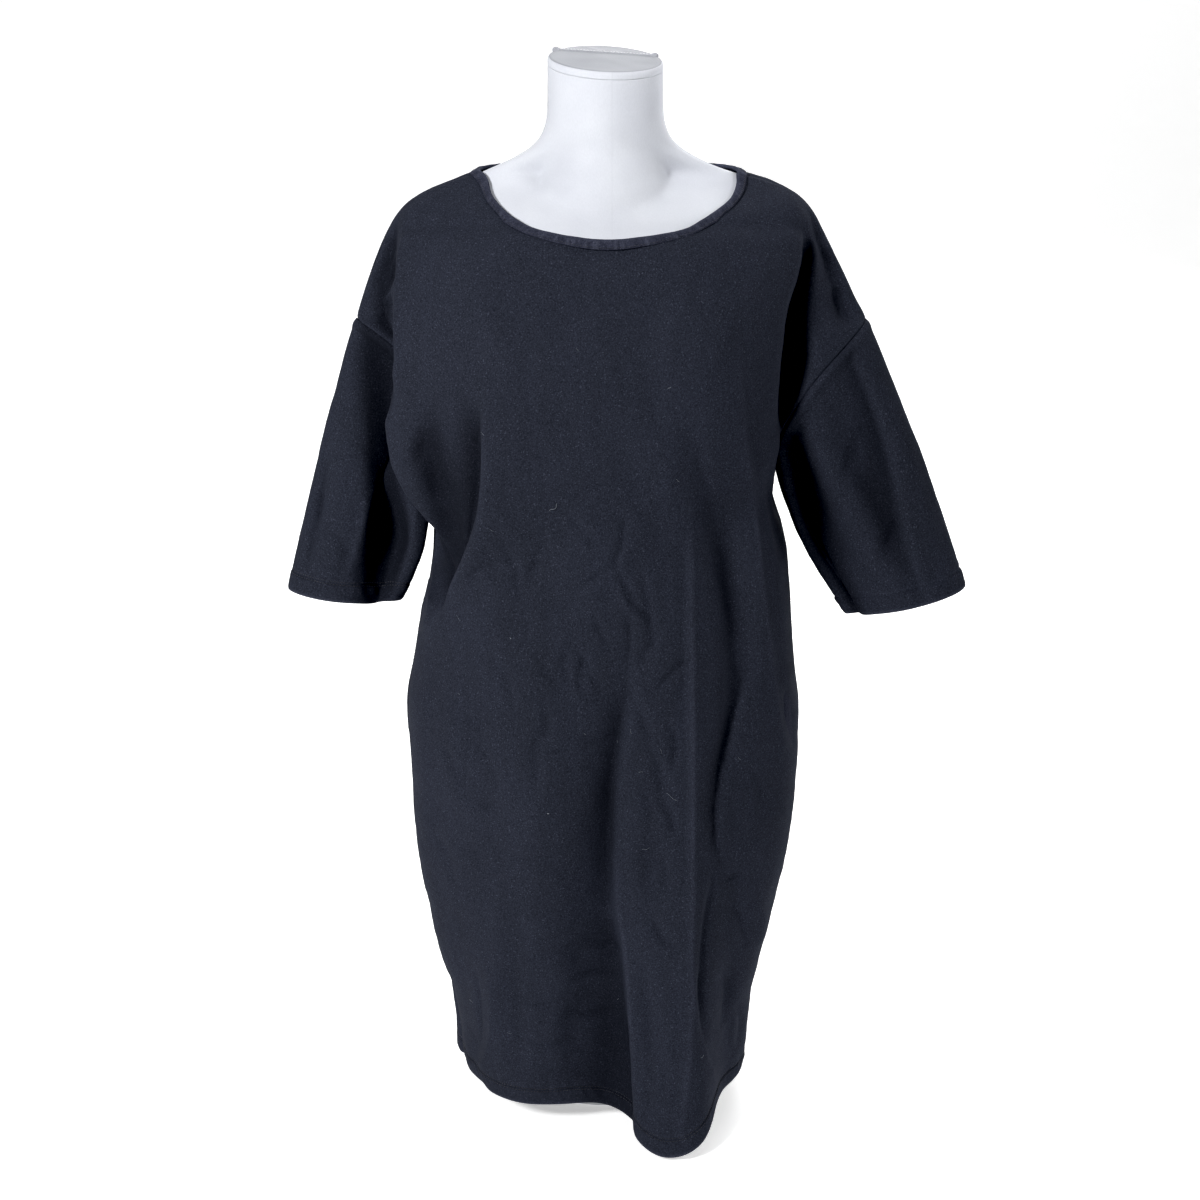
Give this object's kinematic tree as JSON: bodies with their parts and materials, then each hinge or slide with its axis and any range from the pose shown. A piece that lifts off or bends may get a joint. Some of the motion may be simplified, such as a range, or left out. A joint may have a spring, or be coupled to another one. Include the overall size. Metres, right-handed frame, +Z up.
{
  "type": "sweatshirt dress on a dress form",
  "caption": "Loose sweatshirt dress with a boat neck, dropped shoulders, elbow sleeves and side-seam pockets, hanging on a limbless dress form with a round base.",
  "frame": {"origin": "on the floor, straight below the middle of the neck, on the flat underside of the stand's round base", "axes": "+Z up, +X to the right of someone looking at the dress's front, -Y the way the front faces"},
  "size_m": [0.676, 0.3058, 1.0771],
  "materials": {
    "sweatshirt_cloth": "matte brushed cotton jersey, charcoal with a blue cast",
    "neck_band_cloth": "matte cotton jersey, turned edge with a stitched lower line",
    "pocket_cloth": "matte cotton jersey",
    "form_jersey": "smooth white stretch jersey",
    "cap_cover": "smooth grey-white jersey over a flat plate",
    "stand_steel": "satin"
  },
  "bodies": {
    "root": {"front_panel": "sweatshirt_cloth", "back_panel": "sweatshirt_cloth", "sleeve_left": "sweatshirt_cloth", "sleeve_right": "sweatshirt_cloth", "neck_band": "neck_band_cloth", "pocket_bag_left": "pocket_cloth", "pocket_bag_right": "pocket_cloth", "form_torso": "form_jersey", "form_neck_cap": "cap_cover", "form_pole": "stand_steel", "form_base": "stand_steel"}
  },
  "joints": []
}
